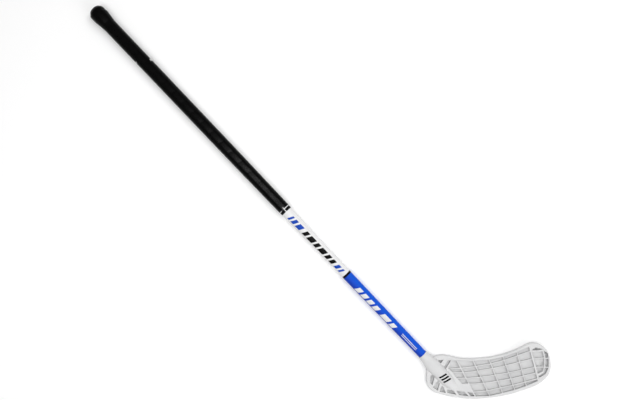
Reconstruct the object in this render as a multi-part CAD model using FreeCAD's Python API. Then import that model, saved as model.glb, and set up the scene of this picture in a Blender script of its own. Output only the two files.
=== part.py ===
import FreeCAD, Part
import math
import os

# A floorball stick lying on its side with the hollow of the blade upward.
# Millimetres, +Z up. The shaft runs along X from the butt end to the blade, the blade turns off towards +Y,
# and the stick rests on the knob of its grip and on the flat back of its blade.
# Heights are measured from the surface it lies on, and the origin is the middle of the footprint.

Vector = FreeCAD.Vector
along_axis = Vector(1, 0, 0)
up = Vector(0, 0, 1)
sideways = Vector(0, 1, 0)
full_turn = 360

# Clearances
fit_gap = 0.1
seam_gap = 0.2
cut_overrun = 5.0

# Lengths along the shaft, in order from the butt end to the bottom of the blade's socket
grip_length = 544.9
tape_gap = 1.5
tape_width = 5.9
white_length = 170.0
stripe_width = 4.4
blue_length = 216.0
socket_depth = 64.0

# Shaft tube: outer radii at the places where its taper changes, and its wall
straight_length = 390.0
tube_butt_radius = 12.55
tube_straight_radius = 12.15
tube_tape_radius = 11.15
tube_stripe_radius = 9.6
tube_neck_radius = 8.4
tube_tip_taper = 0.3
tube_wall = 1.5

# Films on the tube, and the tape below the grip with the slit where its ends meet
film_thickness = 0.2
film_tuck = 8.0
tape_thickness = 0.25
tape_tab_width = 5.5
slit_width = 1.5
slit_notch = 3.2

# Grip, with the knob that it forms over the end cap
grip_thickness = 0.95
knob_radius = 16.9
knob_crown = 15.5
knob_flare_end = 50.5
knob_dome_shares = ((0.05, 0.35), (0.14, 0.585), (0.335, 0.82))
knob_flare_shares = ((0.31, 0.81), (0.655, 0.26))

# End cap: disc that shows, collar under the knob, plug inside the tube
cap_disc_radius = 11.5
cap_disc_depth = 10.0
cap_collar_end = 36.5
cap_plug_end = 36.5
cap_plug_wall = 2.0

# Blade: sizes in its own plane, along from the heel to the toe and across from the sole upward
blade_length = 241.5
blade_span = 112.4
blade_thickness = 12.0
blade_lie_angle = 46.4
neck_before_heel = 7.4
neck_above_sole = 88.0
hook_start = 105.0
hook_rise = 15.0
rim_edge_radius = 2.4
blade_outline_shares = (
    (0.0, 0.37), (0.012, 0.235), (0.045, 0.145), (0.11, 0.085), (0.22, 0.032), (0.36, 0.0),
    (0.51, 0.015), (0.67, 0.078), (0.83, 0.2), (0.957, 0.362), (1.0, 0.54), (1.0, 0.7),
    (0.975, 0.87), (0.93, 0.965), (0.865, 1.0), (0.807, 0.952), (0.711, 0.85), (0.581, 0.759),
    (0.417, 0.708), (0.25, 0.724), (0.1, 0.765), (0.03, 0.69), (0.004, 0.53),
)

# Ribs of the blade: feet of the cross ribs on the inner edge of the rim, top foot then bottom foot,
# and the long ribs as shares of the way down the cross ribs, at the heel, the middle and the toe
rib_width = 1.9
web_thickness = 1.6
web_lift = 3.0
slot_web_lift = 0.8
cross_rib_shares = (
    ((0.253, 0.679), (0.402, 0.043)),
    ((0.384, 0.67), (0.52, 0.052)),
    ((0.515, 0.688), (0.623, 0.107)),
    ((0.627, 0.741), (0.722, 0.166)),
    ((0.737, 0.83), (0.813, 0.243)),
    ((0.837, 0.932), (0.906, 0.341)),
)
long_rib_shares = (
    (0.0, 0.0, 0.0),
    (0.22, 0.11, 0.13),
    (0.35, 0.26, 0.36),
    (0.5, 0.47, 0.61),
    (0.66, 0.655, 0.77),
    (0.885, 0.85, 0.94),
    (1.0, 1.0, 1.0),
)

# Cells of the blade that the ribs do not frame, as corners in shares of its length and span
heel_web_shares = (
    ((0.208, 0.678), (0.247, 0.674), (0.276, 0.548), (0.18, 0.53)),
    ((0.19, 0.52), (0.281, 0.525), (0.294, 0.471), (0.215, 0.467)),
    ((0.223, 0.452), (0.299, 0.454), (0.317, 0.374), (0.249, 0.368)),
    ((0.257, 0.354), (0.324, 0.358), (0.344, 0.271), (0.292, 0.268)),
)
heel_slot_shares = (
    ((0.034, 0.405), (0.052, 0.42), (0.07, 0.395), (0.05, 0.24), (0.033, 0.28)),
    ((0.095, 0.322), (0.11, 0.265), (0.095, 0.142), (0.055, 0.205)),
    ((0.13, 0.23), (0.144, 0.197), (0.16, 0.104), (0.11, 0.128), (0.116, 0.18)),
    ((0.171, 0.166), (0.222, 0.15), (0.246, 0.071), (0.174, 0.108)),
    ((0.247, 0.141), (0.313, 0.124), (0.346, 0.046), (0.27, 0.066)),
    ((0.337, 0.116), (0.376, 0.11), (0.396, 0.046), (0.365, 0.046)),
    ((0.088, 0.674), (0.142, 0.69), (0.118, 0.622)),
    ((0.178, 0.68), (0.202, 0.676), (0.16, 0.526), (0.143, 0.556)),
)
toe_web_shares = (
    ((0.855, 0.838), (0.937, 0.855), (0.95, 0.75), (0.87, 0.735)),
    ((0.872, 0.72), (0.952, 0.735), (0.951, 0.596), (0.889, 0.584)),
    ((0.891, 0.568), (0.949, 0.577), (0.938, 0.505), (0.901, 0.462)),
)
toe_slot_shares = (
    ((0.852, 0.87), (0.885, 0.92), (0.944, 0.896), (0.9, 0.872)),
    ((0.95, 0.862), (0.978, 0.832), (0.984, 0.748), (0.961, 0.746)),
    ((0.962, 0.73), (0.985, 0.73), (0.985, 0.592), (0.961, 0.59)),
    ((0.959, 0.575), (0.984, 0.573), (0.963, 0.465), (0.92, 0.4), (0.908, 0.425), (0.942, 0.48)),
)

# Neck and tongue: the socket's walls, and the swelling that runs from the mouth into the blade
socket_gap = 0.1
neck_wall = 1.1
back_wall = 2.2
tongue_length = 97.0
tongue_spread = 3.9
tongue_shares = (
    (0.1, 0.3, 1.0), (0.2, 0.8, 1.0), (0.45, 1.0, 1.0), (0.66, 0.9, 1.0), (0.86, 1.0, 0.62), (1.0, 1.0, 0.15),
)

# Screw that holds the blade on the tube, driven from the back of the neck
screw_from_mouth = 30.0
screw_radius = 1.5
screw_length = 8.0
screw_tip_length = 2.0
screw_head_radius = 2.8
screw_head_height = 1.4
screw_sink = 0.2
screw_slot_width = 0.8
screw_slot_length = 3.2
screw_slot_depth = 0.8

# Places along the shaft
tape_start = grip_length
white_start = tape_start + tape_gap + tape_width
stripe_start = white_start + white_length
blue_start = stripe_start + stripe_width
neck_mouth = blue_start + blue_length
tube_start = cap_disc_depth + seam_gap
tube_end = neck_mouth + socket_depth
tube_stations = (
    (tube_start, tube_butt_radius),
    (straight_length, tube_straight_radius),
    (tape_start, tube_tape_radius),
    (stripe_start, tube_stripe_radius),
    (neck_mouth, tube_neck_radius),
    (tube_end, tube_neck_radius - tube_tip_taper),
)

# Heights of the shaft's axis, and the slight dip that lets knob and blade rest on one surface
film_top = fit_gap + film_thickness
socket_radius = tube_neck_radius + film_top + socket_gap
neck_radius = socket_radius + neck_wall
neck_height = socket_radius + back_wall
knob_reach = neck_mouth - knob_crown
shaft_dip = math.acos(neck_height / math.hypot(knob_radius, knob_reach)) - math.atan2(knob_reach, knob_radius)


def tube_radius(along):
    """Outer radius of the tube at a place along the shaft."""
    for (start, first), (stop, last) in zip(tube_stations, tube_stations[1:]):
        if along <= stop:
            break
    return first + (last - first) * (along - start) / (stop - start)


def tube_line(start, stop, offset):
    """Points along the outside of the tube, raised by an offset, from one place to another."""
    places = [start] + [place for place, radius in tube_stations if start < place < stop] + [stop]
    return [Vector(place, tube_radius(place) + offset) for place in places]


def turned(edges):
    """Solid of revolution about the shaft's axis, from the edges of its half section."""
    return Part.Face(Part.Wire(edges)).revolve(Vector(), along_axis, full_turn)


def turned_polygon(points):
    """Solid of revolution about the shaft's axis, from the corners of its half section."""
    return turned(Part.makePolygon(points + points[:1]).Edges)


def sleeve(start, stop, inner, outer):
    """Ring round the shaft between two offsets from the outside of the tube."""
    return turned_polygon(tube_line(start, stop, outer) + tube_line(start, stop, inner)[::-1])


def rod(start, stop, offset):
    """Solid that fills the shaft out to an offset from the outside of the tube."""
    return turned_polygon([Vector(start)] + tube_line(start, stop, offset) + [Vector(stop)])


def cylinder(radius, start, stop):
    """Plain cylinder on the shaft's axis."""
    return Part.makeCylinder(radius, stop - start, Vector(start), along_axis)


def smooth_curve(points, first_tangent, last_tangent):
    """Curve through points with set directions at its two ends."""
    curve = Part.BSplineCurve()
    curve.interpolate(Points=points, InitialTangent=first_tangent, FinalTangent=last_tangent)
    return curve.toShape()


def grip_form(inset):
    """Outside of the grip as a solid, moved inward by an inset: domed knob, its flare and straight run."""
    crown_radius = knob_radius - inset
    skin = fit_gap + grip_thickness - inset
    flare_radius = tube_radius(knob_flare_end) + skin
    dome_depth = knob_crown - inset
    flare_length = knob_flare_end - knob_crown
    dome = [Vector(inset)]
    dome += [Vector(inset + dome_depth * a, crown_radius * r) for a, r in knob_dome_shares]
    dome += [Vector(knob_crown, crown_radius)]
    flare = dome[-1:]
    drop = crown_radius - flare_radius
    flare += [Vector(knob_crown + flare_length * a, flare_radius + drop * r) for a, r in knob_flare_shares]
    flare += [Vector(knob_flare_end, flare_radius)]
    run = tube_line(knob_flare_end, grip_length - seam_gap, skin)
    edges = [smooth_curve(dome, sideways, along_axis), smooth_curve(flare, along_axis, along_axis)]
    edges += Part.makePolygon(run + [Vector(run[-1].x), dome[0]]).Edges
    return turned(edges)


def cap_collar(clearance):
    """Solid knob under the grip, smaller all round by a clearance where it is the cap and not its cavity."""
    return grip_form(grip_thickness + clearance).common(cylinder(knob_radius, 0, cap_collar_end - clearance))


def make_end_cap():
    """Disc that closes the butt end, collar round the tube and hollow plug inside it."""
    disc = grip_form(0).common(cylinder(cap_disc_radius, 0, cap_disc_depth))
    collar = cap_collar(fit_gap).cut(rod(cap_disc_depth, grip_length, fit_gap))
    plug_skin = -tube_wall - fit_gap
    plug = sleeve(cap_disc_depth, cap_plug_end, plug_skin - cap_plug_wall, plug_skin)
    return collar.fuse([disc, plug]).removeSplitter()


def top_block(start, stop, side, width):
    """Block above the shaft's axis between two places along it, beginning at a distance to the side."""
    return Part.makeBox(stop - start, width, knob_radius, Vector(start, side))


def tape_slit():
    """Slit on top of the shaft where the ends of the tape meet, with the notch it makes in the grip's end."""
    return top_block(tape_start - slit_notch, white_start, -slit_width / 2, slit_width)


def make_grip_wrap():
    """Band of foamed plastic wound over the tube, the collar of the end cap and the end of the white film."""
    mouth = cylinder(cap_disc_radius + fit_gap, 0, cap_disc_depth)
    film_room = rod(grip_length - film_tuck - seam_gap, grip_length, film_top + fit_gap)
    bore = rod(cap_disc_depth, grip_length, fit_gap)
    return grip_form(0).cut([mouth, cap_collar(0), bore, film_room, tape_slit()])


def make_shaft_tube():
    """Tapered hollow tube, laid in place, with the hole that the screw has cut in its lower end."""
    return lay_shaft(sleeve(tube_start, tube_end, -tube_wall, 0)).cut(screw_hole())


def make_finishing_tape():
    """Tape below the grip, which stands off the grip all round but for a tab beside its slit."""
    inside = film_top + fit_gap
    outside = inside + tape_thickness
    band = sleeve(tape_start + tape_gap, white_start, inside, outside)
    tab_place = top_block(tape_start, white_start, -slit_width / 2 - tape_tab_width, tape_tab_width)
    tab = sleeve(tape_start, white_start, inside, outside).common(tab_place)
    return band.fuse(tab).cut(tape_slit()).removeSplitter()


def make_film(start, stop):
    """Thin printed film round the tube."""
    return sleeve(start, stop, fit_gap, film_top)


def blade_point(share):
    """Point in the blade's own plane, from a pair of shares of its length and span."""
    return Vector(blade_length * share[0], blade_span * share[1])


def blade_slab(low, high):
    """All that lies between two heights above the blade's back, flat at the heel and hooked at the toe."""
    reach = blade_length - hook_start
    hook_radius = (reach ** 2 + hook_rise ** 2) / (2 * hook_rise)
    turn = math.asin((reach + cut_overrun) / (hook_radius - high))

    def on_hook(height, angle):
        radius = hook_radius - height
        along = hook_start + radius * math.sin(angle)
        return Vector(along, -cut_overrun, hook_radius - radius * math.cos(angle))

    def hook_arc(height):
        return Part.Arc(on_hook(height, 0), on_hook(height, turn / 2), on_hook(height, turn)).toShape()

    heel_low = Vector(-cut_overrun, -cut_overrun, low)
    heel_high = Vector(-cut_overrun, -cut_overrun, high)
    edges = [
        Part.makeLine(heel_low, on_hook(low, 0)),
        hook_arc(low),
        Part.makeLine(on_hook(low, turn), on_hook(high, turn)),
        hook_arc(high),
        Part.makeLine(on_hook(high, 0), heel_high),
        Part.makeLine(heel_high, heel_low),
    ]
    return Part.Face(Part.Wire(edges)).extrude(sideways * (blade_span + 2 * cut_overrun))


def upright(wire):
    """Prism through the whole height of the blade from a wire drawn in its plane."""
    tall = blade_thickness + hook_rise + 2 * cut_overrun
    return Part.Face(wire).extrude(up * tall).translated(up * -cut_overrun)


def blade_blank():
    """Blade before its cells are sunk: the outline through the hooked slab."""
    curve = Part.BSplineCurve()
    curve.interpolate(Points=[blade_point(share) for share in blade_outline_shares], PeriodicFlag=True)
    return upright(Part.Wire(curve.toShape())).common(blade_slab(0, blade_thickness))


def round_rim(blade):
    """Round the front and back edges of the rim's outer side."""
    rim_sides = [face for face in blade.Faces if isinstance(face.Surface, Part.SurfaceOfExtrusion)]
    rim_edges = [edge for side in rim_sides for edge in side.Edges if not isinstance(edge.Curve, Part.Line)]
    return blade.makeFillet(rim_edge_radius, rim_edges)


def cell_prism(corners):
    """Prism of one cell from its corners."""
    return upright(Part.makePolygon(corners + corners[:1]))


def inset_corners(corners, insets):
    """Corners moved inward by a distance for each side, for corners that run clockwise seen from above."""
    sides = []
    for corner, after, inset in zip(corners, corners[1:] + corners[:1], insets):
        direction = (after - corner).normalize()
        sides.append((corner + direction.cross(up) * inset, direction))
    moved = []
    for (place, direction), (next_place, next_direction) in zip(sides[-1:] + sides[:-1], sides):
        across = next_direction.cross(up)
        moved.append(place + direction * ((next_place - place).dot(across) / direction.dot(across)))
    return moved


def rib_crossing(column, rib):
    """Point where a cross rib meets a long rib."""
    heel, middle, toe = long_rib_shares[rib]
    place = column / (len(cross_rib_shares) - 1)
    straight = heel + (toe - heel) * place
    bow = (middle - (heel + toe) / 2) * 4 * place * (1 - place)
    top, bottom = cross_rib_shares[column]
    top_point = blade_point(top)
    return top_point + (blade_point(bottom) - top_point) * (straight + bow)


def grid_cell(column, row):
    """Prism of the cell between two cross ribs and two long ribs, or the rim at the top and bottom."""
    half = rib_width / 2
    last_row = len(long_rib_shares) - 2
    corners = [rib_crossing(column, row), rib_crossing(column + 1, row)]
    corners += [rib_crossing(column + 1, row + 1), rib_crossing(column, row + 1)]
    insets = [half if row else 0, half, half if row < last_row else 0, half]
    return cell_prism(inset_corners(corners, insets))


def free_cell(corner_shares):
    """Prism of a cell that stands outside the grid."""
    return cell_prism([blade_point(share) for share in corner_shares])


def blade_cells():
    """Prisms of the wide cells, and of the narrow slots along the rim, whose webs lie deeper."""
    columns = range(len(cross_rib_shares) - 1)
    web_rows = range(len(long_rib_shares) - 2)
    wide = [grid_cell(column, row) for column in columns for row in web_rows]
    wide += [free_cell(shares) for shares in heel_web_shares + toe_web_shares]
    slots = [grid_cell(column, len(web_rows)) for column in columns]
    slots += [free_cell(shares) for shares in heel_slot_shares + toe_slot_shares]
    return wide, slots


def sunk_cells(cells, lift):
    """What cells take out of the blade in front of their webs and behind them."""
    prisms = Part.makeCompound(cells)
    front = prisms.common(blade_slab(lift + web_thickness, blade_thickness + cut_overrun))
    back = prisms.common(blade_slab(-cut_overrun, lift))
    return [front, back]


def blade_from_shaft():
    """Placement that takes the blade's own plane to the shaft, with the neck's mouth at the origin."""
    mouth = Vector(neck_before_heel, -neck_above_sole)
    return FreeCAD.Placement(Vector(), FreeCAD.Rotation(up, blade_lie_angle)).multiply(
        FreeCAD.Placement(mouth, FreeCAD.Rotation())
    )


def lay_shaft(shape):
    """Tip a piece made along the shaft's axis into the dip that the shaft lies at."""
    shape.translate(Vector(-neck_mouth))
    shape.rotate(Vector(), sideways, math.degrees(shaft_dip))
    shape.translate(up * neck_height)
    return shape


def ellipse_wire(along, half_width, half_height):
    """Upright ellipse across the shaft's axis."""
    ellipse = Part.Ellipse(Vector(), half_width, half_height).toShape()
    ellipse.Placement = FreeCAD.Placement(Vector(along), FreeCAD.Rotation(sideways, up, along_axis, "XYZ"))
    return Part.Wire(ellipse)


def make_tongue():
    """Neck and the swelling over the socket, which sinks into the face of the blade."""
    sections = [ellipse_wire(neck_mouth, neck_radius, neck_radius)]
    for along, spread, height in tongue_shares:
        half_height = neck_radius * height
        half_width = half_height + tongue_spread * spread
        sections.append(ellipse_wire(neck_mouth + tongue_length * along, half_width, half_height))
    return Part.makeLoft(sections, True, False)


def screw_form(extra):
    """Screw standing on its head, larger all round by a clearance where it is used as a hole."""
    head = screw_head_radius + extra
    shank = screw_radius + extra
    neck = screw_sink + screw_head_height
    tip = screw_length - screw_tip_length
    half_section = [
        Vector(0, 0, screw_sink), Vector(head, 0, screw_sink), Vector(shank, 0, neck),
        Vector(shank, 0, tip), Vector(0, 0, screw_length),
    ]
    face = Part.Face(Part.makePolygon(half_section + half_section[:1]))
    return face.revolve(Vector(), up, full_turn)


def screw_place(shape):
    """Stand a shape made at the origin under the neck, where the screw goes in."""
    return shape.translated(along_axis * screw_from_mouth)


def screw_hole():
    """Countersunk hole for the screw, open to the back of the neck."""
    sink = Part.makeCylinder(screw_head_radius + fit_gap, screw_sink + cut_overrun, up * -cut_overrun, up)
    return screw_place(screw_form(fit_gap).fuse(sink))


def make_blade_screw():
    """Countersunk screw with a cross recess in its head."""
    slots = []
    for turn in (0, full_turn / 4):
        slot = Part.makeBox(screw_slot_length, screw_slot_width, screw_slot_depth)
        slot.translate(Vector(-screw_slot_length / 2, -screw_slot_width / 2, screw_sink))
        slots.append(slot.rotate(Vector(), up, turn))
    return screw_place(screw_form(0).cut(slots))


def make_blade():
    """Blade with its neck and socket, lying on its back with the neck's mouth over the origin."""
    wide, slots = blade_cells()
    cuts = sunk_cells(wide, web_lift) + sunk_cells(slots, slot_web_lift)
    blade = round_rim(blade_blank()).cut(cuts)
    blade.Placement = blade_from_shaft()
    bore = rod(neck_mouth - cut_overrun, tube_end + seam_gap, socket_gap)
    mouth_bore = rod(neck_mouth - cut_overrun, neck_mouth + film_tuck + seam_gap, film_top + socket_gap)
    blade = blade.fuse(lay_shaft(make_tongue())).cut([lay_shaft(bore), lay_shaft(mouth_bore), screw_hole()])
    return blade.removeSplitter()


def make_pieces():
    """Every piece by its name, with the neck's mouth over the origin."""
    pieces = {
        "end_cap": lay_shaft(make_end_cap()),
        "grip_wrap": lay_shaft(make_grip_wrap()),
        "shaft_tube": make_shaft_tube(),
        "finishing_tape": lay_shaft(make_finishing_tape()),
        "white_graphic_film": lay_shaft(make_film(grip_length - film_tuck, stripe_start - seam_gap)),
        "black_stripe_band": lay_shaft(make_film(stripe_start, blue_start - seam_gap)),
        "blue_graphic_film": lay_shaft(make_film(blue_start, neck_mouth + film_tuck)),
        "blade": make_blade(),
        "blade_screw": make_blade_screw(),
    }
    return pieces


def write_pieces(pieces):
    """Move the origin to the middle of the footprint and write one file for each piece."""
    box = Part.makeCompound(list(pieces.values())).optimalBoundingBox(False, False)
    shift = Vector(-box.Center.x, -box.Center.y, -box.ZMin)
    os.makedirs("parts", exist_ok=True)
    for name, shape in pieces.items():
        shape.translated(shift).exportStep(os.path.join("parts", name + ".step"))
    print("size", round(box.XLength, 2), round(box.YLength, 2), round(box.ZLength, 2))
    print("neck mouth at", round(shift.x, 2), round(shift.y, 2), "lowest point was", round(box.ZMin, 4))


write_pieces(make_pieces())
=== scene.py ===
import math
from typing import NamedTuple

import bmesh
import bpy
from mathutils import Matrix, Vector
from mathutils.bvhtree import BVHTree


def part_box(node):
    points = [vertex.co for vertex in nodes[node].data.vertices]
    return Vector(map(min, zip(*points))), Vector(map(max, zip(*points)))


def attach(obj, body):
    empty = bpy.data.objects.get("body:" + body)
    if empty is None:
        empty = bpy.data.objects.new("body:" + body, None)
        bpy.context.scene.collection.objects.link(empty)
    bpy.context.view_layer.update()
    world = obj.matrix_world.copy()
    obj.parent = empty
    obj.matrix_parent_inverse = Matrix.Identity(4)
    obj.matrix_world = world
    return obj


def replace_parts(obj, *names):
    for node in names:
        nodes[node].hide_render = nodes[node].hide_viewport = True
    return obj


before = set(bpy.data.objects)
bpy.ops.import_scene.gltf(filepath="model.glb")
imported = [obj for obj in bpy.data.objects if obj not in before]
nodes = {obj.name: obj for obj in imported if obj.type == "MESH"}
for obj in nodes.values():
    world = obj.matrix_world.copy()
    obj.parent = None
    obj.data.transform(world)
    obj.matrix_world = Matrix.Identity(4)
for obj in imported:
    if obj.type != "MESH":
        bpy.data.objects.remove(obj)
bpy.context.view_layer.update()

# A floorball stick that lies on a pale floor, seen from straight above.
# Metres, in the frame of the solids: the shaft runs along X and the blade turns off towards +Y.
full_turn = 2 * math.pi
down = Vector((0, 0, -1))


class Finish(NamedTuple):
    """Look of a surface: both ends of its mottle with their roughness, how strongly it reflects,
    the patches of the mottle and the grains of the relief to a metre, the relief's depth and texture,
    and what both patterns are multiplied by along each axis."""

    dark: tuple
    light: tuple
    dull: float
    shiny: float
    gloss: float
    patches: float
    grains: float
    relief: float
    relief_texture: str = "ShaderNodeTexNoise"
    stretch: tuple = (1, 1, 1)


class Bars(NamedTuple):
    """Row of printed bars: starts and lengths as shares of what shows of a film, the angles from the
    shaft's top that they reach between, in degrees, and how far they slant, as a share too."""

    shares: tuple
    angles: tuple
    slant_share: float


def grey(value):
    """Grey colour of one brightness."""
    return (value, value, value, 1)


# Camera: its lens in pixels of the picture, its sensor in millimetres, its place and how far it is
# turned about the upright
picture_width = 640
focal_pixels = 800
sensor_width = 36
camera_height = 1.595
camera_place = (0.01065, -0.01)
camera_turn = math.radians(46.44)

# Floor and light: a dim sky, one long lamp across the shaft, placed from the camera, and a broad soft
# lamp beyond the blade
floor_half = 6.0
floor_colour = grey(0.99)
horizon_light = 0.36
zenith_light = 0.25
strip_lift = 0.55
strip_width = 0.186
strip_length = 3.25
strip_along = -0.118
strip_aside = 0.28
strip_power = 43.0
fill_place = (1.9, 0.1, 1.1)
fill_aim = (0.45, 0, 0)
fill_size = 2.0
fill_power = 20.0

# Grip: the wound band, with its section as shares of the pitch and of the step, and its trimmed end
band_pitch = 0.0277
band_step = 0.00015
band_wall = 0.0008
band_columns = 72
band_start_angle = math.pi
band_section_shares = ((0.0, 0.0), (0.02, 0.7), (0.05, 1.0), (0.5, 0.95), (0.94, 0.75))
band_end_length = 0.0032
band_end_slit = 0.0015

# Meshes: when a face looks outward, how deep the last ring of a tube is, and what counts as one point
# or as an edge
outward_least = 0.2
end_ring_depth = 0.0005
same_point = 0.000001
edge_angle = math.radians(30)

# Prints: how far they stand off what carries them, how thick they are, and how finely they bend round
# it, in degrees
print_lift = 0.00003
print_thickness = 0.00006
print_bend = 6
white_blue_bars = Bars(
    shares=((0.06, 0.028), (0.113, 0.045), (0.183, 0.07), (0.83, 0.045), (0.9, 0.028)),
    angles=(-46, 18), slant_share=0.035,
)
white_dark_bars = Bars(
    shares=((0.3, 0.05), (0.375, 0.085), (0.485, 0.05), (0.56, 0.085), (0.67, 0.05), (0.745, 0.05)),
    angles=(-46, 18), slant_share=0.035,
)
blue_white_bars = Bars(
    shares=((0.13, 0.05), (0.205, 0.05), (0.28, 0.05), (0.355, 0.05), (0.46, 0.09), (0.575, 0.05)),
    angles=(-58, 10), slant_share=0.028,
)
blue_side_line = Bars(shares=((0.73, 0.19),), angles=(-30, -22), slant_share=0)
blue_top_line = Bars(shares=((0.73, 0.19),), angles=(-8, 0), slant_share=0)

# Marks on the grip: places from the butt end, lengths, and the angles they reach between, in degrees
left_mark_along = 0.135
left_mark_length = 0.003
left_mark_angles = (-78, -56)
right_mark_along = 0.1495
right_mark_length = 0.005
right_mark_angles = (58, 76)

# Mark on the blade: bars on the tongue, from the neck's mouth along the shaft
blade_mark_along = 0.063
blade_bar_length = 0.016
blade_bar_width = 0.0036
blade_bar_step = 0.0062
blade_bar_slant = 0.004
blade_bar_count = 3
blade_bar_parts = 8

# Blade: what counts as one point and as flat, how its outer edges are eased where they are this many
# times longer than the easing, and the light that its plastic lets through
blade_weld = 0.00005
blade_flat_angle = math.radians(0.05)
blade_edge_ease = 0.0003
blade_ease_room = 4
blade_ease_steps = 2
blade_ease_round = 0.5
blade_glow_share = 0.12
blade_glow_reach = 0.003
blade_glow_spread = (1, 1, 1)

# Finishes, where in the noise of a mottle its dark end stops and its light end starts, and where across
# the shaft the blue film is dark, middling and light: painted shade on its side towards -Y and painted
# light on its side towards +Y
mottle_dark_share = 0.3
mottle_light_share = 0.7
grip_look = Finish(
    dark=grey(0.0012), light=grey(0.0024), dull=0.27, shiny=0.24, gloss=0.056, patches=140,
    grains=1100, relief=0.00003, relief_texture="ShaderNodeTexVoronoi",
)
cap_look = Finish(
    dark=grey(0.002), light=grey(0.004), dull=0.6, shiny=0.48, gloss=0.06, patches=90,
    grains=700, relief=0.00002,
)
tape_look = Finish(
    dark=grey(0.002), light=grey(0.004), dull=0.5, shiny=0.4, gloss=0.06, patches=90,
    grains=400, relief=0.00002,
)
stripe_look = Finish(
    dark=grey(0.002), light=grey(0.004), dull=0.42, shiny=0.34, gloss=0.06, patches=90,
    grains=160, relief=0.00001,
)
white_look = Finish(
    dark=(0.735, 0.735, 0.74, 1), light=grey(0.765), dull=0.3, shiny=0.26, gloss=0.2, patches=45,
    grains=160, relief=0.00001,
)
# Blue film: its dark and light colours are painted shade and painted light across the shaft
blue_look = Finish(
    dark=(0.012, 0.048, 0.4, 1), light=(0.009, 0.088, 0.6, 1), dull=0.44, shiny=0.36, gloss=0.04, patches=60,
    grains=160, relief=0.00001,
)
# Middle colour of the blue film's painted shade across the shaft
blue_painted_half_shade = (0.013, 0.068, 0.52, 1)
blue_painted_shade_shares = (0.12, 0.45, 0.75)
blade_look = Finish(
    dark=(0.625, 0.625, 0.63, 1), light=grey(0.66), dull=0.5, shiny=0.4, gloss=0.3, patches=38,
    grains=900, relief=0.000015,
)
tube_look = Finish(
    dark=grey(0.02), light=grey(0.04), dull=0.5, shiny=0.38, gloss=0.4, patches=900,
    grains=900, relief=0.00001, stretch=(0.05, 1, 1),
)
steel_look = Finish(
    dark=grey(0.42), light=grey(0.6), dull=0.42, shiny=0.26, gloss=0.5, patches=4000,
    grains=4000, relief=0.000005, stretch=(1, 0.06, 1),
)
dark_ink_look = Finish(
    dark=grey(0.003), light=grey(0.006), dull=0.5, shiny=0.42, gloss=0.06, patches=220,
    grains=900, relief=0.000005,
)
blue_ink_look = dark_ink_look._replace(dark=(0.012, 0.055, 0.36, 1), light=(0.016, 0.075, 0.46, 1))
white_ink_look = dark_ink_look._replace(dark=grey(0.7), light=grey(0.76))


def end_centre(name, place):
    """Middle of the ring that ends a tube, at a place along X."""
    ring = set()
    for vertex in nodes[name].data.vertices:
        if abs(vertex.co.x - place) < end_ring_depth:
            ring.add(tuple(round(value / same_point) * same_point for value in vertex.co))
    return sum((Vector(corner) for corner in ring), Vector()) / len(ring)


# The shaft's own axes: along it from the butt end, to the side and up
tube_low, tube_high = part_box("shaft_tube")
tube_butt = end_centre("shaft_tube", tube_low.x)
shaft_axis = (end_centre("shaft_tube", tube_high.x) - tube_butt).normalized()
shaft_side = Vector((0, 1, 0))
shaft_top = shaft_axis.cross(shaft_side).normalized()
shaft_start = tube_butt + shaft_axis * ((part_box("end_cap")[0].x - tube_butt.x) / shaft_axis.x)
neck_mouth = (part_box("blade")[0] - shaft_start).dot(shaft_axis)


def around(along, radius, angle):
    """Point at a place along the shaft, a radius from its axis and an angle from its top."""
    across = shaft_side * math.sin(angle) + shaft_top * math.cos(angle)
    return shaft_start + shaft_axis * along + across * radius


def outer_profile(name):
    """Places along the shaft and radii of the outside of a turned node, in order."""
    rings = {}
    for vertex in nodes[name].data.vertices:
        offset = vertex.co - shaft_start
        along = offset.dot(shaft_axis)
        across = offset - shaft_axis * along
        if vertex.normal.dot(across.normalized()) > outward_least:
            ring = rings.setdefault(round(along / end_ring_depth), [])
            ring.append((along, across.length))
    return [tuple(sum(values) / len(ring) for values in zip(*ring)) for _, ring in sorted(rings.items())]


def radius_at(profile, along):
    """Radius of a profile at a place along the shaft."""
    for (start, first), (stop, last) in zip(profile, profile[1:]):
        if along <= stop:
            break
    return first + (last - first) * (along - start) / (stop - start)


def add_grid(mesh, rows):
    """Faces between rows of vertices."""
    for lower, upper in zip(rows, rows[1:]):
        for near, after, far_after, far in zip(lower, lower[1:], upper[1:], upper):
            mesh.faces.new((near, after, far_after, far))


def add_strip(mesh, sections):
    """Closed body through sections, each a ring of points."""
    rings = [[mesh.verts.new(point) for point in section] for section in sections]
    add_grid(mesh, [ring + ring[:1] for ring in rings])
    mesh.faces.new(rings[0])
    mesh.faces.new(rings[-1])


def new_piece(name, mesh, finish):
    """Object from a finished mesh, which moves with the stick and has a material."""
    bmesh.ops.recalc_face_normals(mesh, faces=mesh.faces)
    data = bpy.data.meshes.new(name)
    mesh.to_mesh(data)
    mesh.free()
    data.materials.append(finish)
    data.shade_smooth()
    data.set_sharp_from_angle(angle=edge_angle)
    piece = bpy.data.objects.new(name, data)
    bpy.context.scene.collection.objects.link(piece)
    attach(piece, "root")
    return piece


# Materials


def main_shader(finish):
    """Node that gives a material its looks."""
    return finish.node_tree.nodes["Principled BSDF"]


def set_values(node, **values):
    """Set sockets of a node by name, with underscores for spaces."""
    for name, value in values.items():
        node.inputs[name.replace("_", " ")].default_value = value


def texture_of(tree, kind, place, scale):
    """Texture with its features at a scale, to a metre."""
    texture = tree.nodes.new(kind)
    set_values(texture, Scale=scale)
    tree.links.new(place, texture.inputs["Vector"])
    return texture.outputs[0]


def ramp_of(tree, factor, stops):
    """Colours spread over a factor."""
    ramp = tree.nodes.new("ShaderNodeValToRGB")
    while len(ramp.color_ramp.elements) < len(stops):
        ramp.color_ramp.elements.new(1)
    for element, (position, colour) in zip(ramp.color_ramp.elements, stops):
        element.position = position
        element.color = colour
    tree.links.new(factor, ramp.inputs["Fac"])
    return ramp.outputs["Color"]


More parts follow.
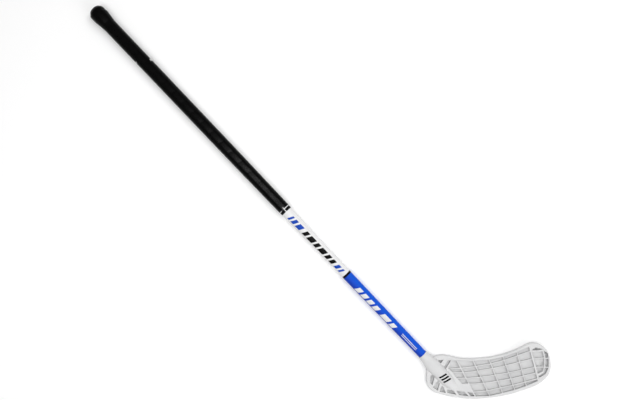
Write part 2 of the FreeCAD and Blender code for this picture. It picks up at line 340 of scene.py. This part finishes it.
def pattern_place(tree, stretch):
    """Place on the piece that its patterns are read at, multiplied along each axis."""
    coordinates = tree.nodes.new("ShaderNodeTexCoord")
    mapping = tree.nodes.new("ShaderNodeMapping")
    set_values(mapping, Scale=stretch)
    tree.links.new(coordinates.outputs["Object"], mapping.inputs["Vector"])
    return mapping.outputs["Vector"]


def textured(name, look):
    """Material with a mottle of roughness and a fine relief, and the noise of that mottle."""
    finish = bpy.data.materials.new(name)
    finish.use_nodes = True
    tree = finish.node_tree
    main = main_shader(finish)
    set_values(main, Specular_IOR_Level=look.gloss)
    place = pattern_place(tree, look.stretch)
    cloud = texture_of(tree, "ShaderNodeTexNoise", place, look.patches)
    sheens = ((mottle_dark_share, grey(look.dull)), (mottle_light_share, grey(look.shiny)))
    tree.links.new(ramp_of(tree, cloud, sheens), main.inputs["Roughness"])
    bump = tree.nodes.new("ShaderNodeBump")
    set_values(bump, Distance=look.relief)
    tree.links.new(texture_of(tree, look.relief_texture, place, look.grains), bump.inputs["Height"])
    tree.links.new(bump.outputs["Normal"], main.inputs["Normal"])
    return finish, cloud


def mottled(name, look):
    """Material with a mottle of colour and roughness, and a fine relief."""
    finish, cloud = textured(name, look)
    tree = finish.node_tree
    colours = ramp_of(tree, cloud, ((mottle_dark_share, look.dark), (mottle_light_share, look.light)))
    tree.links.new(colours, main_shader(finish).inputs["Base Color"])
    return finish


def blue_film_material():
    """Blue film with painted shade across the shaft: dark on its side towards -Y, light on its side towards
    +Y.
    """
    finish, _ = textured("blue_film", blue_look)
    tree = finish.node_tree
    low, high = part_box("blue_graphic_film")
    coordinates = tree.nodes.new("ShaderNodeTexCoord")
    split = tree.nodes.new("ShaderNodeSeparateXYZ")
    tree.links.new(coordinates.outputs["Object"], split.inputs["Vector"])
    across = tree.nodes.new("ShaderNodeMapRange")
    set_values(across, From_Min=low.y, From_Max=high.y)
    tree.links.new(split.outputs["Y"], across.inputs["Value"])
    # Painted shade on the side towards -Y, painted light on the side towards +Y
    shades = (blue_look.dark, blue_painted_half_shade, blue_look.light)
    colours = ramp_of(tree, across.outputs["Result"], tuple(zip(blue_painted_shade_shares, shades)))
    tree.links.new(colours, main_shader(finish).inputs["Base Color"])
    return finish


def blade_material():
    """Milky moulded plastic that lets some light through."""
    finish = mottled("blade_plastic", blade_look)
    set_values(main_shader(finish), Subsurface_Weight=blade_glow_share, Subsurface_Scale=blade_glow_reach)
    set_values(main_shader(finish), Subsurface_Radius=blade_glow_spread)
    return finish


def steel_material():
    """Zinc plated steel with a brushed face."""
    finish = mottled("screw_steel", steel_look)
    set_values(main_shader(finish), Metallic=1)
    return finish


grip_finish = mottled("grip_band", grip_look)
blade_finish = blade_material()
dark_ink = mottled("dark_ink", dark_ink_look)
blue_ink = mottled("blue_ink", blue_ink_look)
white_ink = mottled("white_ink", white_ink_look)
node_finishes = {
    "end_cap": mottled("cap_plastic", cap_look),
    "finishing_tape": mottled("black_tape", tape_look),
    "black_stripe_band": mottled("black_film", stripe_look),
    "shaft_tube": mottled("shaft_composite", tube_look),
    "white_graphic_film": mottled("white_film", white_look),
    "blue_graphic_film": blue_film_material(),
    "blade_screw": steel_material(),
}
for name, finish in node_finishes.items():
    for material_slot in nodes[name].material_slots:
        material_slot.material = finish


# Grip


def outline_table(profile):
    """Distances along a profile's outline, with the place and radius at each."""
    table = [(0, *profile[0])]
    for (start, first), (stop, last) in zip(profile, profile[1:]):
        table.append((table[-1][0] + math.hypot(stop - start, last - first), stop, last))
    return table


def on_outline(table, distance):
    """Place and radius at a distance along an outline."""
    for (start, place, radius), (stop, next_place, next_radius) in zip(table, table[1:]):
        if distance <= stop:
            break
    part = (distance - start) / (stop - start)
    return place + (next_place - place) * part, radius + (next_radius - radius) * part


def winding(mesh, table, distance, rise, sink):
    """Row of vertices once round the grip, from a distance along its outline and rising along it."""
    row = []
    for column in range(band_columns + 1):
        turn = column / band_columns
        along, radius = on_outline(table, distance + rise * turn)
        row.append(mesh.verts.new(around(along, radius - sink, band_start_angle + full_turn * turn)))
    return row


def grip_band(profile):
    """Band wound from the knob down the shaft, each turn over the edge of the last, as one closed skin."""
    end = profile[-1][0] - band_end_length
    table = outline_table([ring for ring in profile if ring[0] < end] + [(end, radius_at(profile, end))])
    length = table[-1][0]
    turns = round(length / band_pitch)
    pitch = length / turns
    points = len(band_section_shares)
    mesh = bmesh.new()
    rows = []
    for row in range((turns - 1) * points + 1):
        share, lift = band_section_shares[row % points]
        rows.append(winding(mesh, table, (row // points + share) * pitch, pitch, band_step * (1 - lift)))
    first = winding(mesh, table, 0, 0, band_step)
    last = winding(mesh, table, length, 0, band_step)
    inner = [winding(mesh, table, distance, 0, band_step + band_wall) for distance, _, _ in table]
    add_grid(mesh, [first] + rows + [last])
    add_grid(mesh, [first] + inner + [last])
    mesh.faces.new([row[0] for row in rows[:points + 1]])
    mesh.faces.new([row[-1] for row in rows[-points - 1:]])
    bmesh.ops.remove_doubles(mesh, verts=mesh.verts, dist=same_point)
    return new_piece("grip_band", mesh, grip_finish)


def grip_end(profile):
    """Trimmed end of the band below its last turn, open at the slit on top."""
    stop, radius = profile[-1]
    start = stop - band_end_length
    corners = ((start, radius), (stop, radius), (stop, radius - band_wall), (start, radius - band_wall))
    half_slit = math.asin(band_end_slit / 2 / radius)
    sections = []
    for column in range(band_columns + 1):
        angle = half_slit + (full_turn - 2 * half_slit) * column / band_columns
        sections.append([around(along, reach, angle) for along, reach in corners])
    mesh = bmesh.new()
    add_strip(mesh, sections)
    return new_piece("grip_end", mesh, grip_finish)


# Prints


def add_patch(mesh, profile, start, length, angles, slant):
    """Thin closed patch bent round the shaft, slanted along it from its first to its last angle."""
    low, high = angles
    steps = math.ceil((high - low) / print_bend)
    sections = []
    for step in range(steps + 1):
        angle = math.radians(low + (high - low) * step / steps)
        near = start + slant * step / steps
        far = near + length
        under = [(place, radius_at(profile, place) + print_lift) for place in (near, far)]
        over = [(place, radius + print_thickness) for place, radius in reversed(under)]
        sections.append([around(place, radius, angle) for place, radius in under + over])
    add_strip(mesh, sections)


def film_bars(name, film, shown, bars, ink):
    """Row of bars printed on what shows of a film."""
    profile = outer_profile(film)
    start, stop = shown
    reach = stop - start
    mesh = bmesh.new()
    for place, length in bars.shares:
        add_patch(mesh, profile, start + reach * place, reach * length, bars.angles, reach * bars.slant_share)
    return new_piece(name, mesh, ink)


def grip_marks(profile):
    """Small light marks on the two sides of the grip."""
    mesh = bmesh.new()
    add_patch(mesh, profile, left_mark_along, left_mark_length, left_mark_angles, 0)
    add_patch(mesh, profile, right_mark_along, right_mark_length, right_mark_angles, 0)
    return new_piece("grip_marks", mesh, white_ink)


grip_profile = outer_profile("grip_wrap")
tape_profile = outer_profile("finishing_tape")
stripe_profile = outer_profile("black_stripe_band")
white_shown = (tape_profile[-1][0], stripe_profile[0][0])
blue_shown = (stripe_profile[-1][0], neck_mouth)
film_bars("white_film_blue_bars", "white_graphic_film", white_shown, white_blue_bars, blue_ink)
film_bars("white_film_dark_bars", "white_graphic_film", white_shown, white_dark_bars, dark_ink)
film_bars("blue_film_white_bars", "blue_graphic_film", blue_shown, blue_white_bars, white_ink)
film_bars("blue_film_side_line", "blue_graphic_film", blue_shown, blue_side_line, white_ink)
film_bars("blue_film_top_line", "blue_graphic_film", blue_shown, blue_top_line, white_ink)
grip_marks(grip_profile)
grip_end(grip_profile)
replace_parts(grip_band(grip_profile), "grip_wrap")


# Blade


def moulded_blade():
    """Blade with the shape of its solid and eased outer edges, where there is room to ease them."""
    mesh = bmesh.new()
    mesh.from_mesh(nodes["blade"].data)
    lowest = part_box("blade")[0].z
    bmesh.ops.remove_doubles(mesh, verts=mesh.verts, dist=blade_weld)
    bmesh.ops.dissolve_limit(mesh, angle_limit=blade_flat_angle, verts=mesh.verts, edges=mesh.edges)
    sharp = [edge for edge in mesh.edges if edge.is_manifold and edge.calc_face_angle() > edge_angle]
    short = [edge for edge in sharp if edge.calc_length() < blade_edge_ease * blade_ease_room]
    crowded = {vertex for edge in short for vertex in edge.verts}
    clear = [edge for edge in sharp if edge.is_convex and not crowded.intersection(edge.verts)]
    bmesh.ops.bevel(mesh, geom=clear, offset=blade_edge_ease, offset_type="OFFSET", segments=blade_ease_steps,
                    profile=blade_ease_round, affect="EDGES", clamp_overlap=False)
    for vertex in mesh.verts:
        vertex.co.z = max(vertex.co.z, lowest)
    piece = new_piece("blade_moulding", mesh, blade_finish)
    even = piece.modifiers.new("even_shading", "WEIGHTED_NORMAL")
    even.keep_sharp = True
    return piece


def bar_section(surface, highest, middle, share):
    """Ring of points across a bar of the blade's mark, at a share of its length from its middle."""
    under = []
    for end in (-blade_bar_width / 2, blade_bar_width / 2):
        place = around(middle + end + blade_bar_slant * share, 0, 0)
        place += shaft_side * blade_bar_length * share
        place.z = highest
        hit = surface.ray_cast(place, down)[0]
        under.append(hit + shaft_top * print_lift)
    over = [point + shaft_top * print_thickness for point in reversed(under)]
    return under + over


def blade_mark(moulding):
    """Dark bars printed on the tongue of the blade, laid on its surface."""
    corners = [vertex.co for vertex in moulding.data.vertices]
    surface = BVHTree.FromPolygons(corners, [face.vertices for face in moulding.data.polygons])
    highest = max(corner.z for corner in corners)
    shares = [part / blade_bar_parts - 0.5 for part in range(blade_bar_parts + 1)]
    mesh = bmesh.new()
    for number in range(blade_bar_count):
        middle = neck_mouth + blade_mark_along + blade_bar_step * (number - (blade_bar_count - 1) / 2)
        add_strip(mesh, [bar_section(surface, highest, middle, share) for share in shares])
    return new_piece("blade_mark", mesh, dark_ink)


blade = moulded_blade()
blade_mark(blade)
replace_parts(blade, "blade")


# Floor, light and camera


def place_object(name, data, place):
    """Object in the scene at a place."""
    item = bpy.data.objects.new(name, data)
    item.location = place
    bpy.context.scene.collection.objects.link(item)
    return item


def make_floor():
    """Plain pale floor."""
    mesh = bmesh.new()
    bmesh.ops.create_grid(mesh, x_segments=1, y_segments=1, size=floor_half)
    data = bpy.data.meshes.new("floor")
    mesh.to_mesh(data)
    mesh.free()
    finish = bpy.data.materials.new("floor_finish")
    finish.use_nodes = True
    set_values(main_shader(finish), Base_Color=floor_colour, Roughness=1, Specular_IOR_Level=0)
    data.materials.append(finish)
    place_object("floor", data, (0, 0, 0))


def make_sky():
    """Dim light from all round, a little brighter at the sides than overhead."""
    world = bpy.data.worlds.new("studio")
    world.use_nodes = True
    tree = world.node_tree
    coordinates = tree.nodes.new("ShaderNodeTexCoord")
    split = tree.nodes.new("ShaderNodeSeparateXYZ")
    tree.links.new(coordinates.outputs["Generated"], split.inputs["Vector"])
    strength = tree.nodes.new("ShaderNodeMapRange")
    set_values(strength, To_Min=horizon_light, To_Max=zenith_light)
    tree.links.new(split.outputs["Z"], strength.inputs["Value"])
    background = tree.nodes["Background"]
    set_values(background, Color=grey(1))
    tree.links.new(strength.outputs["Result"], background.inputs["Strength"])
    bpy.context.scene.world = world


def make_strip_lamp():
    """Long soft lamp above the camera, across the shaft."""
    lamp = bpy.data.lights.new("strip_lamp", "AREA")
    lamp.shape = "RECTANGLE"
    lamp.size = strip_width
    lamp.size_y = strip_length
    lamp.energy = strip_power
    place = Vector((*camera_place, camera_height)) + Vector((strip_along, strip_aside, strip_lift))
    place_object("strip_lamp", lamp, place)


def make_fill_lamp():
    """Broad soft lamp beyond the blade, which leaves the walls of its cells in some shade."""
    lamp = bpy.data.lights.new("fill_lamp", "AREA")
    lamp.size = fill_size
    lamp.energy = fill_power
    item = place_object("fill_lamp", lamp, fill_place)
    item.rotation_euler = (Vector(fill_aim) - Vector(fill_place)).to_track_quat("-Z", "Y").to_euler()


def make_camera():
    """Camera straight above the stick, turned as the picture is."""
    lens = bpy.data.cameras.new("camera")
    lens.sensor_width = sensor_width
    lens.lens = sensor_width * focal_pixels / picture_width
    camera = place_object("camera", lens, (*camera_place, camera_height))
    camera.rotation_euler.z = camera_turn
    bpy.context.scene.camera = camera


make_floor()
make_sky()
make_strip_lamp()
make_fill_lamp()
make_camera()
bpy.context.scene.view_settings.view_transform = "Standard"
